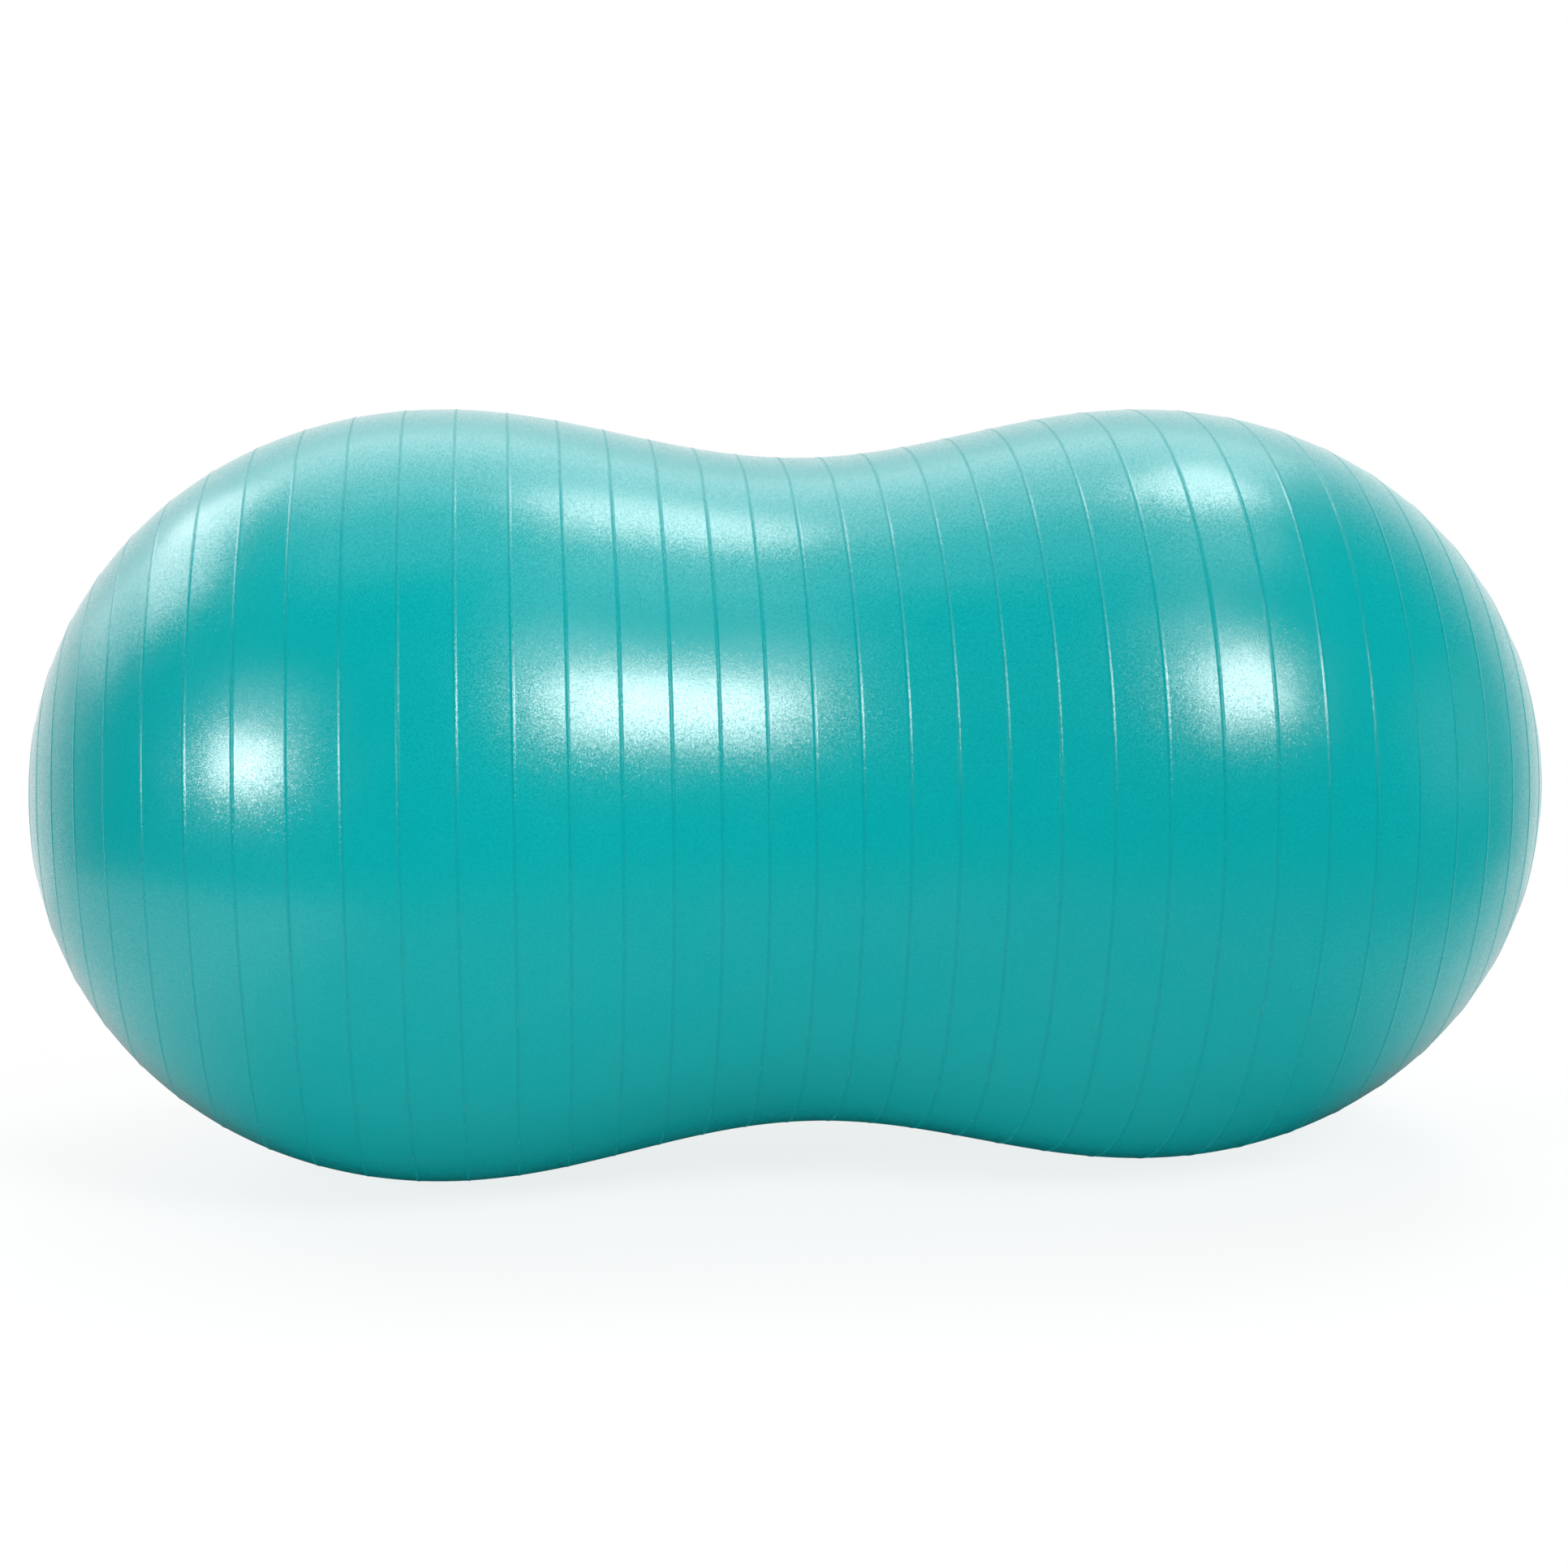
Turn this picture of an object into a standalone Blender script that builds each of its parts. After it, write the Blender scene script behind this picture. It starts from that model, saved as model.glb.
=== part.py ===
"""Peanut ball: an inflated two-lobed exercise ball with raised rings, a moulded valve seat and a push-in plug.

The ball lies on a floor at z = 0 with its long axis along +X and its waist over the origin. Lengths are metres.
The skin is one thin hollow shell. Each lobe is pressed flat where it rests, as an inflated ball is.
The valve is in the middle of the +X end: a stepped seat under the skin, and a barbed plug that pulls out
along +X.
"""

import math

import bpy
import numpy as np

# Ball
BALL_LENGTH = 0.900  # from end to end
LOBE_RADIUS = 0.228  # at the widest place of each lobe
WAIST_RADIUS = 0.1995
LOBE_OFFSET = 0.208  # from the waist to the widest place of a lobe, along the axis
END_FULLNESS = 2.05  # exponent of the end's superellipse: 2 is a plain ellipse, more is squarer
SKIN_WALL = 0.0012
RESTING_DENT = 0.0018  # how far the floor presses each lobe in

# Raised rings
RING_GAP_WAIST = 0.0251  # from ring to ring along the skin
RING_GAP_LOBE = 0.0293
RING_WIDTH = 0.0024
RING_HEIGHT = 0.0004
PLAIN_END_RADIUS = 0.045  # no ring is nearer to the end's middle than this

# Valve
PLUG_HEAD_RADIUS = 0.0100
PLUG_HEAD_THICKNESS = 0.0022
PLUG_HEAD_CROWN = 0.0004  # how far the head's middle stands above its edge
PLUG_LENGTH = 0.0260  # from under the head to the tip
PLUG_CORE_RADIUS = 0.0036
PLUG_TIP_RADIUS = 0.0024
PLUG_TIP_LENGTH = 0.0050
BARB_COUNT = 3
BARB_RISE = 0.0008
BARB_LENGTH = 0.0045
SEAT_RIM = 0.0028  # seat material round the head's recess
SEAT_BOSS_WALL = 0.0040
SEAT_BOSS_DEPTH = 0.0235  # from the face to the boss's inner end
SEAT_BOSS_DRAFT = 0.0010  # how much thinner the boss is at its inner end
FLANGE_WIDTH = 0.0080  # how far the flange reaches under the skin
FLANGE_THICKNESS = 0.0020
CLEARANCE = 0.0003  # between neighbouring pieces

# Facets
SIDES = 32  # round the ball and round the valve
FINE_STEPS = 3000  # points of each half of the outline before it is thinned

TEAL = (0.0, 0.41, 0.40, 1.0)
VALVE_TEAL = (0.0, 0.36, 0.36, 1.0)
PLUG_WHITE = (0.86, 0.86, 0.84, 1.0)

HALF_LENGTH = BALL_LENGTH / 2
AXIS_HEIGHT = LOBE_RADIUS - RESTING_DENT
BORE_RADIUS = PLUG_CORE_RADIUS + BARB_RISE + CLEARANCE
RECESS_RADIUS = PLUG_HEAD_RADIUS + CLEARANCE
NECK_RADIUS = RECESS_RADIUS + SEAT_RIM
HOLE_RADIUS = NECK_RADIUS + CLEARANCE
FLANGE_RADIUS = HOLE_RADIUS + FLANGE_WIDTH


def clear_scene():
    for item in list(bpy.data.objects):
        bpy.data.objects.remove(item, do_unlink=True)


def new_collection(name):
    group = bpy.data.collections.new(name)
    bpy.context.scene.collection.children.link(group)
    return group


def new_material(name, colour, roughness):
    material = bpy.data.materials.new(name)
    material.use_nodes = True
    shader = material.node_tree.nodes["Principled BSDF"]
    shader.inputs["Base Color"].default_value = colour
    shader.inputs["Roughness"].default_value = roughness
    shader.inputs["Metallic"].default_value = 0.0
    material.diffuse_color = colour
    return material


def swell(along):
    """0 at the waist, rising as half a cosine wave to 1 at the lobe's widest place, and 1 past it."""
    share = np.clip(along / LOBE_OFFSET, 0.0, 1.0)
    return (1.0 - np.cos(np.pi * share)) / 2.0


def half_outline():
    """Distance from the waist and radius of the bare skin, from the waist to the end's middle.

    Between the waist and the lobe's widest place the radius follows the swell. From there to the end it
    follows a quarter of a superellipse.
    """
    waist = np.linspace(0.0, LOBE_OFFSET, FINE_STEPS, endpoint=False)
    waist_radius = WAIST_RADIUS + (LOBE_RADIUS - WAIST_RADIUS) * swell(waist)
    angle = np.linspace(0.0, np.pi / 2.0, FINE_STEPS)
    end = LOBE_OFFSET + (HALF_LENGTH - LOBE_OFFSET) * np.sin(angle) ** (2.0 / END_FULLNESS)
    end_radius = LOBE_RADIUS * np.cos(angle).clip(0.0) ** (2.0 / END_FULLNESS)
    return np.concatenate([waist, end]), np.concatenate([waist_radius, end_radius])


class Outline:
    """The bare skin's half outline, read by its length from the waist or by its radius near the end."""

    def __init__(self):
        self.along, self.radius = half_outline()
        steps = np.hypot(np.diff(self.along), np.diff(self.radius))
        self.arc = np.concatenate([[0.0], np.cumsum(steps)])
        slope_along = np.gradient(self.along, self.arc)
        slope_radius = np.gradient(self.radius, self.arc)
        size = np.hypot(slope_along, slope_radius)
        self.normal_along = -slope_radius / size
        self.normal_radius = slope_along / size

    def point(self, arc, lift):
        """(radius, distance from the waist) at an arc length, raised off the skin by lift."""
        radius = np.interp(arc, self.arc, self.radius) + lift * np.interp(arc, self.arc, self.normal_radius)
        along = np.interp(arc, self.arc, self.along) + lift * np.interp(arc, self.arc, self.normal_along)
        return float(max(radius, 0.0)), float(along)

    def arc_at_end_radius(self, radius):
        """Arc length where the skin has this radius, between the lobe and the end."""
        lobe = int(np.argmax(self.radius))
        return float(np.interp(-radius, -self.radius[lobe:], self.arc[lobe:]))

    def end_face(self, radius, lift=0.0):
        """Distance from the waist of the end's face at a radius round the axis."""
        return self.point(self.arc_at_end_radius(radius), lift)[1]

    def ring_arcs(self):
        """Arc length of each ring from the waist. The gap grows from the waist to the lobe with the swell."""
        gap = RING_GAP_WAIST + (RING_GAP_LOBE - RING_GAP_WAIST) * swell(self.along)
        per_length = 1.0 / gap
        middle = (per_length[1:] + per_length[:-1]) / 2.0
        rings_so_far = np.concatenate([[0.0], np.cumsum(middle * np.diff(self.arc))])
        places = np.arange(0.5, rings_so_far[-1], 1.0)
        arcs = np.interp(places, rings_so_far, self.arc)
        return arcs[arcs < self.arc_at_end_radius(PLAIN_END_RADIUS)]

    def plain_arcs(self):
        """Arc lengths that shape the plain end: under the flange, round the hole, and halfway to the last ring."""
        halfway = (FLANGE_RADIUS + PLAIN_END_RADIUS) / 2.0
        return [self.arc_at_end_radius(radius) for radius in (halfway, FLANGE_RADIUS, HOLE_RADIUS)]


def skin_profile(outline):
    """Outer half outline with its rings, from the waist to the end: each ring has a foot, a crest and a foot."""
    points = []
    for arc in outline.ring_arcs():
        points.append(outline.point(arc - RING_WIDTH / 2, 0.0))
        points.append(outline.point(arc, RING_HEIGHT))
        points.append(outline.point(arc + RING_WIDTH / 2, 0.0))
    points += [outline.point(arc, 0.0) for arc in outline.plain_arcs()]
    points.append((0.0, HALF_LENGTH))
    return points


def cavity_profile(outline):
    """Inner half outline: one wall inside the skin, with a corner under each ring."""
    arcs = list(outline.ring_arcs()) + outline.plain_arcs()
    points = [outline.point(arc, -SKIN_WALL) for arc in arcs]
    points.append((0.0, HALF_LENGTH - SKIN_WALL))
    return points


def both_ends(points):
    """A half outline mirrored about the waist, from the +X end to the -X end."""
    return list(reversed(points)) + [(radius, -along) for radius, along in points]


def seat_profile(outline):
    """The valve seat's closed outline: down its outside, then up its bore and out over the recess."""
    face = outline.end_face(NECK_RADIUS)
    under_skin = -SKIN_WALL - CLEARANCE
    neck_foot = outline.end_face(HOLE_RADIUS, under_skin)
    flange_top = outline.end_face(FLANGE_RADIUS, under_skin)
    flange_radius = FLANGE_RADIUS - CLEARANCE
    boss_radius = BORE_RADIUS + SEAT_BOSS_WALL
    inner_end = face - SEAT_BOSS_DEPTH
    flange_foot = neck_foot - FLANGE_THICKNESS
    recess_floor = outline.end_face(RECESS_RADIUS) - PLUG_HEAD_THICKNESS - CLEARANCE
    return [
        (RECESS_RADIUS, outline.end_face(RECESS_RADIUS)),
        (NECK_RADIUS, face),
        (NECK_RADIUS, neck_foot),
        (flange_radius, flange_top),
        (flange_radius, flange_top - FLANGE_THICKNESS / 2),
        (boss_radius + FLANGE_THICKNESS, flange_foot),
        (boss_radius, flange_foot - FLANGE_THICKNESS),
        (boss_radius - SEAT_BOSS_DRAFT, inner_end),
        (BORE_RADIUS, inner_end),
        (BORE_RADIUS, recess_floor),
        (RECESS_RADIUS, recess_floor),
    ]


def plug_profile(outline):
    """The plug's outline from the middle of its head to its tip: head, barbs with sloping fronts, rounded tip."""
    rim = outline.end_face(RECESS_RADIUS)
    under_head = rim - PLUG_HEAD_THICKNESS
    tip = under_head - PLUG_LENGTH
    edge = PLUG_HEAD_THICKNESS / 4
    points = [
        (0.0, rim),
        (PLUG_HEAD_RADIUS / 2, rim - PLUG_HEAD_CROWN / 4),
        (PLUG_HEAD_RADIUS - edge, rim - PLUG_HEAD_CROWN),
        (PLUG_HEAD_RADIUS, rim - PLUG_HEAD_CROWN - edge),
        (PLUG_HEAD_RADIUS, under_head),
        (PLUG_CORE_RADIUS, under_head),
    ]
    barbs_end = tip + PLUG_TIP_LENGTH
    for barb in range(BARB_COUNT):
        back = barbs_end + (BARB_COUNT - barb) * BARB_LENGTH
        points += [
            (PLUG_CORE_RADIUS, back),
            (PLUG_CORE_RADIUS + BARB_RISE, back - BARB_RISE / 2),
            (PLUG_CORE_RADIUS, back - BARB_LENGTH + BARB_RISE / 2),
        ]
    points += [
        (PLUG_CORE_RADIUS, barbs_end),
        (PLUG_TIP_RADIUS, tip + PLUG_TIP_RADIUS / 4),
        (PLUG_TIP_RADIUS / 2, tip),
        (0.0, tip),
    ]
    return points


def turned(name, points, closed, group):
    """A profile of (radius, distance along the axis) turned round the ball's long axis by a Screw modifier.

    The profile stands half a facet round from straight down, so a facet lies underneath.
    """
    half_facet = math.pi / SIDES
    ends = [
        (radius * math.cos(half_facet), radius * math.sin(half_facet), along) for radius, along in points
    ]
    edges = [(i, i + 1) for i in range(len(ends) - 1)]
    if closed:
        edges.append((len(ends) - 1, 0))
    mesh = bpy.data.meshes.new(name)
    mesh.from_pydata(ends, edges, [])
    item = bpy.data.objects.new(name, mesh)
    item.location = (0.0, 0.0, AXIS_HEIGHT)
    item.rotation_euler = (0.0, math.pi / 2, 0.0)
    group.objects.link(item)
    screw = item.modifiers.new("turn", "SCREW")
    screw.axis = "Z"
    screw.angle = 2 * math.pi
    screw.steps = SIDES
    screw.render_steps = SIDES
    screw.use_merge_vertices = True
    screw.merge_threshold = 0.00001
    screw.use_smooth_shade = True
    return item


def hide_cutter(item):
    item.hide_render = True
    item.display_type = "WIRE"


def block_below(name, height, group):
    """A block whose top is at a height, wider than the ball: it cuts what lies below flat."""
    bpy.ops.mesh.primitive_cube_add(size=1.0)
    item = bpy.context.object
    item.name = name
    depth = LOBE_RADIUS / 2
    item.scale = (BALL_LENGTH * 1.2, LOBE_RADIUS * 2.4, depth)
    item.location = (0.0, 0.0, height - depth / 2)
    for owner in list(item.users_collection):
        owner.objects.unlink(item)
    group.objects.link(item)
    hide_cutter(item)
    return item


def cut(item, cutter, name):
    """Takes the cutter's space out of the item."""
    boolean = item.modifiers.new(name, "BOOLEAN")
    boolean.operation = "DIFFERENCE"
    boolean.solver = "EXACT"
    boolean.object = cutter


def make_skin(outline, parts, cutters):
    """The hollow ball: turned outside, flats where it rests, an inside one wall smaller, and the valve's hole."""
    skin = turned("ball_skin", both_ends(skin_profile(outline)), False, parts)
    cavity = turned("cutter_cavity", both_ends(cavity_profile(outline)), False, cutters)
    cut(cavity, block_below("cutter_cavity_floor", SKIN_WALL, cutters), "inner_flats")
    hide_cutter(cavity)

    inside = outline.end_face(FLANGE_RADIUS) - FLANGE_WIDTH
    outside = HALF_LENGTH + FLANGE_WIDTH
    hole_points = [(0.0, outside), (HOLE_RADIUS, outside), (HOLE_RADIUS, inside), (0.0, inside)]
    hole = turned("cutter_valve_hole", hole_points, False, cutters)
    hide_cutter(hole)

    cut(skin, block_below("cutter_floor", 0.0, cutters), "resting_flats")
    cut(skin, cavity, "hollow")
    cut(skin, hole, "valve_hole")
    skin.data.materials.append(new_material("teal_vinyl", TEAL, 0.42))
    return skin


def make_valve_seat(outline, parts):
    seat = turned("valve_seat", seat_profile(outline), True, parts)
    seat.data.materials.append(new_material("valve_vinyl", VALVE_TEAL, 0.5))
    return seat


def make_valve_plug(outline, parts):
    plug = turned("valve_plug", plug_profile(outline), False, parts)
    plug.data.materials.append(new_material("plug_plastic", PLUG_WHITE, 0.35))
    return plug


def main():
    clear_scene()
    parts = new_collection("peanut_ball")
    cutters = new_collection("cutters")
    outline = Outline()
    make_skin(outline, parts, cutters)
    make_valve_seat(outline, parts)
    make_valve_plug(outline, parts)


main()
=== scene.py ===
"""Peanut ball: its finished look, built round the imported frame.

The ball lies on a floor at z = 0 with its long axis along +X and its waist over the origin. Lengths are
metres. Three pieces are made: the inflated skin with its raised rings, the valve's seat in the middle of the
+X end, and the push-in plug. Each is one surface turned round the ball's long axis.
"""

import math

import bpy
import numpy as np
from bpy.props import FloatProperty, FloatVectorProperty, IntProperty, PointerProperty
from bpy.types import NodeSocket, Operator, Panel, PropertyGroup
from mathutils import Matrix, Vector


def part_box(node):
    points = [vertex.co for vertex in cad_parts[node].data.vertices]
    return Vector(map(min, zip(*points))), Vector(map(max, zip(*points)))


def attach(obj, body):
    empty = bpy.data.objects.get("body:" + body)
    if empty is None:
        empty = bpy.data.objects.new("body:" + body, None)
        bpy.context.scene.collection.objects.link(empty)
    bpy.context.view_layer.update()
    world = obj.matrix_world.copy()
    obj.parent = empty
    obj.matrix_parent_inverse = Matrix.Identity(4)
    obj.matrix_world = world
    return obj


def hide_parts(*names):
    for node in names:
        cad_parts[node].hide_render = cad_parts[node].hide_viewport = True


bl_info = {
    "name": "Peanut Ball",
    "version": (1, 0, 0),
    "blender": (4, 5, 0),
    "location": "3D View > Sidebar > Peanut Ball",
    "description": "Makes an inflated peanut ball with raised rings, a valve seat and a push-in plug",
    "category": "Add Mesh",
}

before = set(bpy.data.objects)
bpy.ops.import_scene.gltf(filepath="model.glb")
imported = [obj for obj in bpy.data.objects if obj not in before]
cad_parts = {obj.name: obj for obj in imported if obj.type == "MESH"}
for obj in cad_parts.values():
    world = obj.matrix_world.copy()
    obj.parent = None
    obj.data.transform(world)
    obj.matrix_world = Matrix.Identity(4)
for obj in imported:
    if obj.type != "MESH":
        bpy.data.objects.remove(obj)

BALL_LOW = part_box("ball_skin")[0]
SEAT_LOW, SEAT_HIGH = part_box("valve_seat")
PLUG_LOW, PLUG_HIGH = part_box("valve_plug")
AXIS_HEIGHT = (PLUG_LOW.z + PLUG_HIGH.z) / 2

# How finely the profiles are drawn
TABLE_POINTS = 4000  # points of the outline's table from the waist to the lobe, and again to the end
SLOPE_STEP = 0.0002  # the outline's slope is taken from this far before a point to this far past it
BEAD_PLACES = (-1.2, -1.0, -0.6, -0.06, 0.0, 0.06, 0.6, 1.0, 1.2)  # across a ring, in half widths
BAND_POINTS = 3  # points of the skin between two rings
CAP_POINTS = 26  # points from the last ring to an end's middle
CAP_START = 0.97  # radius of the cap's first point, as a share of the radius where the last ring ends
LIP_REACH = 0.002  # from the edge of the valve's hole to where its lip starts
INNER_END_RADII = (0.03, 0.015, 0.006)  # last points inside the plain end
FILLET_POINTS = 6
FILLET_SHARE = 0.48  # a fillet takes no more than this share of a side
ON_AXIS = 1e-7  # a point nearer to the axis than this is on it

# How a raised ring differs from the skin between the rings
BEAD_GRAIN = 1.5  # its grain's strength, as a multiple of the skin's
# painted shade: the rings' colour is pulled towards the darker end of the skin's colours so they read as
# shaded lines
BEAD_PAINTED_SHADE = -0.45  # shift of its colour towards the darker end of the skin's colours
BEAD_DULLNESS = 0.06  # added to its roughness

CLOUD_RANGE = (0.3, 0.7)  # what the grain's soft cloud runs between

FLOOR_HALF_LENGTH = 1.15
FLOOR_HALF_WIDTH = 0.78
FLOOR_EDGE_POINTS = 96

# Camera, worked out from the ball's outline and rings in the photograph
CAMERA_PLACE = (-0.1752, -1.4977, 0.4543)
CAMERA_AIM = (-0.0079, 0.0, 0.2296)
CAMERA_LENS = 57.72  # mm, on a sensor 36 mm wide
CAMERA_SENSOR = 36.0


def length(name, description, default):
    """A size that a user may change, in metres."""
    return FloatProperty(
        name=name, description=description, default=default, min=0.0, unit="LENGTH", precision=5
    )


def colour(name, description, default):
    """A plain linear colour that a user may change."""
    return FloatVectorProperty(
        name=name, description=description, default=default, size=3, min=0.0, max=1.0, subtype="COLOR"
    )


class PeanutBallSizes(PropertyGroup):
    """Sizes of the inflated skin and its rings."""

    half_length: length("Half length", "From the waist to an end", -BALL_LOW.x)
    lobe_radius: length("Lobe radius", "Radius at the widest place of each lobe", 0.228)
    waist_radius: length("Waist radius", "Radius at the narrowest place between the lobes", 0.1995)
    lobe_offset: length("Lobe offset", "From the waist to a lobe's widest place, along the axis", 0.208)
    end_fullness: FloatProperty(
        name="End fullness",
        description="Exponent of the ends' superellipse, 2 for a plain ellipse",
        default=2.05,
    )
    wall: length("Skin wall", "Thickness of the skin", 0.0012)
    ring_gap_waist: length("Ring gap at the waist", "From ring to ring along the skin at the waist", 0.0251)
    ring_gap_lobe: length("Ring gap on the lobes", "From ring to ring along the skin on the lobes", 0.0293)
    ring_width: length("Ring width", "Width of a raised ring at its foot", 0.0024)
    ring_height: length("Ring height", "Height of a raised ring over the skin", 0.00025)
    ring_curve: FloatProperty(
        name="Ring curve",
        description="Exponent of a ring's section, 1 for a roof and 2 for a parabola",
        default=1.3,
        min=1.0,
    )
    plain_end_radius: length("Plain end radius", "No ring is nearer to an end's middle than this", 0.045)
    band_flatness: FloatProperty(
        name="Band flatness",
        description="Share of its curve that the skin loses between two rings",
        default=0.12,
        min=0.0,
        max=1.0,
    )
    press_softness: length("Press softness", "How gently the skin turns into the flat it rests on", 0.0006)
    sides: IntProperty(name="Sides", description="Steps round the ball", default=168, min=24)


class PeanutBallValve(PropertyGroup):
    """Sizes of the valve's seat and plug."""

    head_radius: length("Head radius", "Radius of the plug's flat head", 0.0100)
    head_thickness: length("Head thickness", "Thickness of the plug's head at its edge", 0.0022)
    head_crown: length("Head crown", "How far the head's middle stands above its edge", 0.0004)
    core_radius: length("Stem radius", "Radius of the plug's stem between its barbs", 0.0036)
    barb_rise: length("Barb rise", "How far a barb stands off the stem", 0.0008)
    barb_length: length("Barb length", "Length of one barb along the stem", 0.0045)
    barbs: IntProperty(name="Barbs", description="Number of barbs on the stem", default=3, min=1)
    tip_radius: length("Tip radius", "Radius of the stem's rounded tip", 0.0024)
    tip_length: length("Tip length", "Length of the taper in front of the barbs", 0.0050)
    seat_rim: length("Seat rim", "Seat material round the head's recess", 0.0028)
    boss_wall: length("Boss wall", "Wall of the seat round its bore", 0.0040)
    boss_draft: length("Boss draft", "How much thinner the boss is at its inner end", 0.0010)
    flange_thickness: length("Flange thickness", "Thickness of the flange under the skin", 0.0020)
    clearance: length("Clearance", "Gap between neighbouring pieces", 0.0003)
    sides: IntProperty(name="Sides", description="Steps round the valve", default=96, min=24)


class PeanutBallFinish(PropertyGroup):
    """Colours and surface of the materials."""

    skin_colour: colour("Skin colour", "Teal of the skin", (0.0, 0.336, 0.347))
    valve_colour: colour("Valve colour", "Teal of the valve's seat", (0.0, 0.36, 0.36))
    plug_colour: colour("Plug colour", "Off-white of the plug", (0.86, 0.86, 0.84))
    grain_size: length("Grain size", "Size of one grain on the skin", 0.0004)
    grain_tilt: FloatProperty(
        name="Grain tilt",
        description="Steepest slope of a grain, as height over width",
        default=0.105,
        min=0.0,
    )


class PeanutBallStage(PropertyGroup):
    """The plain studio round the ball."""

    floor_colour: colour("Floor colour", "Colour of the floor under the ball", (0.86, 0.86, 0.86))
    light_level: FloatProperty(
        name="Light level", description="Strength of all the lamps", default=1.0, min=0.0
    )


def sizes():
    """The skin's sizes in this scene."""
    return bpy.context.scene.peanut_ball_sizes


def valve():
    """The valve's sizes in this scene."""
    return bpy.context.scene.peanut_ball_valve


def finish():
    """The colours and surfaces in this scene."""
    return bpy.context.scene.peanut_ball_finish


def studio():
    """The studio's settings in this scene."""
    return bpy.context.scene.peanut_ball_stage


def swell(along, s):
    """0 at the waist, rising as half a cosine wave to 1 at the lobe's widest place, and 1 past it."""
    share = np.clip(np.abs(along) / s.lobe_offset, 0.0, 1.0)
    return (1.0 - np.cos(np.pi * share)) / 2.0


class Outline:
    """The skin's half outline as a table read by its length from the waist.

    Between the waist and the lobe's widest place, radius = waist + (lobe - waist) * swell. From there to the
    end it is a quarter of a superellipse: (along / half length)^n + (radius / lobe)^n = 1, both measured from
    the lobe's widest place.
    """

    def __init__(self, s):
        self.sizes = s
        waist = np.linspace(0.0, s.lobe_offset, TABLE_POINTS, endpoint=False)
        waist_radius = s.waist_radius + (s.lobe_radius - s.waist_radius) * swell(waist, s)
        angle = np.linspace(0.0, np.pi / 2, TABLE_POINTS)
        reach = s.half_length - s.lobe_offset
        end = s.lobe_offset + reach * np.sin(angle) ** (2 / s.end_fullness)
        end_radius = s.lobe_radius * np.cos(angle).clip(0.0) ** (2 / s.end_fullness)
        self.along = np.concatenate([waist, end])
        self.radius = np.concatenate([waist_radius, end_radius])
        self.arc = np.concatenate([[0.0], np.cumsum(np.hypot(np.diff(self.along), np.diff(self.radius)))])
        self.rings = self.ring_arcs()
        self.knots = np.concatenate([-self.rings[:1], self.rings])

    def arc_at_radius(self, radius):
        """Length from the waist where the end has this radius."""
        lobe = int(np.argmax(self.radius))
        return float(np.interp(-radius, -self.radius[lobe:], self.arc[lobe:]))

    def along_at_radius(self, radius):
        """Distance from the waist where the end has this radius."""
        return float(np.interp(self.arc_at_radius(radius), self.arc, self.along))

    def ring_arcs(self):
        """Length from the waist of each ring: the gap grows from the waist to the lobe with the swell."""
        s = self.sizes
        gap = s.ring_gap_waist + (s.ring_gap_lobe - s.ring_gap_waist) * swell(self.along, s)
        per_length = (1 / gap[1:] + 1 / gap[:-1]) / 2
        rings_so_far = np.concatenate([[0.0], np.cumsum(per_length * np.diff(self.arc))])
        arcs = np.interp(np.arange(0.5, rings_so_far[-1]), rings_so_far, self.arc)
        return arcs[arcs < self.arc_at_radius(s.plain_end_radius)]

    def smooth(self, arc):
        """(along, radius) of the bare outline."""
        size = np.abs(arc)
        return np.sign(arc) * np.interp(size, self.arc, self.along), np.interp(size, self.arc, self.radius)

    def banded(self, arc):
        """(along, radius) of the outline pulled towards a straight line between each ring and the next."""
        along, radius = self.smooth(arc)
        knot_along, knot_radius = self.smooth(self.knots)
        flat = np.where(arc <= self.knots[-1], self.sizes.band_flatness, 0.0)
        along = along + flat * (np.interp(arc, self.knots, knot_along) - along)
        radius = radius + flat * (np.interp(arc, self.knots, knot_radius) - radius)
        return along, radius

    def lifted(self, arc, lift):
        """(along, radius) of the banded outline, moved off itself by lift along its normal."""
        before = self.banded(arc - SLOPE_STEP)
        after = self.banded(np.minimum(arc + SLOPE_STEP, self.arc[-1]))
        slope_along = after[0] - before[0]
        slope_radius = after[1] - before[1]
        size = np.hypot(slope_along, slope_radius)
        along, radius = self.banded(arc)
        return along - lift * slope_radius / size, np.maximum(radius + lift * slope_along / size, 0.0)


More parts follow.
